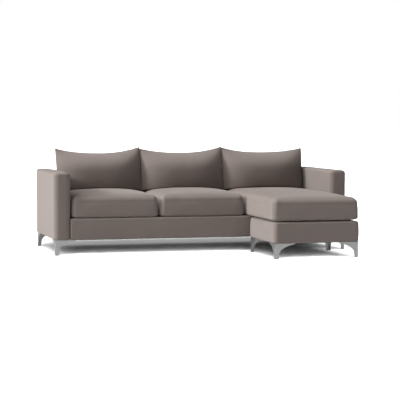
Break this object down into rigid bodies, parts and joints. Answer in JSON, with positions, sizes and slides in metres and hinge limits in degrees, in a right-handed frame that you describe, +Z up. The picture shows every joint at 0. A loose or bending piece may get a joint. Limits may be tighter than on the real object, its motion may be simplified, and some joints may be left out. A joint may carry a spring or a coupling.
{
  "type": "sectional sofa with chaise",
  "caption": "Sectional sofa with a reversible chaise: track arms, loose seat and back cushions, a separate ottoman under the long cushion, bracket metal legs.",
  "frame": {"origin": "on the floor under the middle of the whole outline", "axes": "+X to the right seen from the front, where the chaise is; +Y to the back; +Z up"},
  "size_m": [2.29, 1.596, 0.786],
  "materials": {
    "upholstery_cloth": "woven, warm taupe grey",
    "foam": "cut polyurethane foam",
    "fibre_filling": "loose fibre",
    "zip_tape": "woven tape with a coil",
    "timber": "bare pine and plywood",
    "webbing": "woven elastic strap",
    "lining_cloth": "spun-bonded cloth",
    "felt": "needled felt",
    "satin_steel": "satin",
    "zinc_steel": "zinc plated"
  },
  "bodies": {
    "sofa": {"left_arm_cover": "upholstery_cloth", "right_arm_cover": "upholstery_cloth", "inside_back_cover": "upholstery_cloth", "outside_back_cover": "upholstery_cloth", "front_rail_cover": "upholstery_cloth", "left_arm_padding": "foam", "right_arm_padding": "foam", "back_padding": "foam", "front_rail_padding": "foam", "front_seat_rail": "timber", "rear_seat_rail": "timber", "seat_end_rails": "timber", "seat_stretchers": "timber", "seat_corner_blocks": "timber", "back_frame": "timber", "left_arm_frame": "timber", "right_arm_frame": "timber", "seat_webbing": "webbing", "back_webbing": "webbing", "deck_cloth": "lining_cloth", "dust_cover": "lining_cloth", "deck_felt": "felt", "front_left_leg": "satin_steel", "front_right_leg": "satin_steel", "rear_left_leg": "satin_steel", "rear_right_leg": "satin_steel", "seat_dovetails": "zinc_steel", "arm_sockets": "zinc_steel"},
    "ottoman": {"ottoman_rails": "timber", "ottoman_corner_blocks": "timber", "ottoman_top_board": "timber", "ottoman_padding": "foam", "ottoman_cover": "upholstery_cloth", "ottoman_dust_cover": "lining_cloth", "ottoman_front_left_leg": "satin_steel", "ottoman_front_right_leg": "satin_steel", "ottoman_rear_left_leg": "satin_steel", "ottoman_rear_right_leg": "satin_steel"},
    "left_seat_cushion": {"left_seat_cushion_cover": "upholstery_cloth", "left_seat_cushion_core": "foam", "left_seat_cushion_zip": "zip_tape"},
    "middle_seat_cushion": {"middle_seat_cushion_cover": "upholstery_cloth", "middle_seat_cushion_core": "foam", "middle_seat_cushion_zip": "zip_tape"},
    "chaise_cushion": {"chaise_cushion_cover": "upholstery_cloth", "chaise_cushion_core": "foam", "chaise_cushion_zip": "zip_tape"},
    "left_back_cushion": {"left_back_cushion_cover": "upholstery_cloth", "left_back_cushion_filling": "fibre_filling", "left_back_cushion_zip": "zip_tape"},
    "middle_back_cushion": {"middle_back_cushion_cover": "upholstery_cloth", "middle_back_cushion_filling": "fibre_filling", "middle_back_cushion_zip": "zip_tape"},
    "right_back_cushion": {"right_back_cushion_cover": "upholstery_cloth", "right_back_cushion_filling": "fibre_filling", "right_back_cushion_zip": "zip_tape"}
  },
  "joints": [
    {"name": "left_seat_cushion_lift", "type": "slide", "parent": "sofa", "child": "left_seat_cushion", "axis": [0, 0, 1], "range_m": [0, 0.36]},
    {"name": "middle_seat_cushion_lift", "type": "slide", "parent": "sofa", "child": "middle_seat_cushion", "axis": [0, 0, 1], "range_m": [0, 0.36]},
    {"name": "chaise_cushion_lift", "type": "slide", "parent": "sofa", "child": "chaise_cushion", "axis": [0, 0, 1], "range_m": [0, 0.36]},
    {"name": "left_back_cushion_lift", "type": "slide", "parent": "left_seat_cushion", "child": "left_back_cushion", "axis": [0, 0, 1], "range_m": [0, 0.2]},
    {"name": "middle_back_cushion_lift", "type": "slide", "parent": "middle_seat_cushion", "child": "middle_back_cushion", "axis": [0, 0, 1], "range_m": [0, 0.2]},
    {"name": "right_back_cushion_lift", "type": "slide", "parent": "chaise_cushion", "child": "right_back_cushion", "axis": [0, 0, 1], "range_m": [0, 0.2]},
    {"name": "ottoman_slide", "type": "slide", "parent": "sofa", "child": "ottoman", "axis": [1, 0, 0], "range_m": [-1.351, 0]}
  ]
}
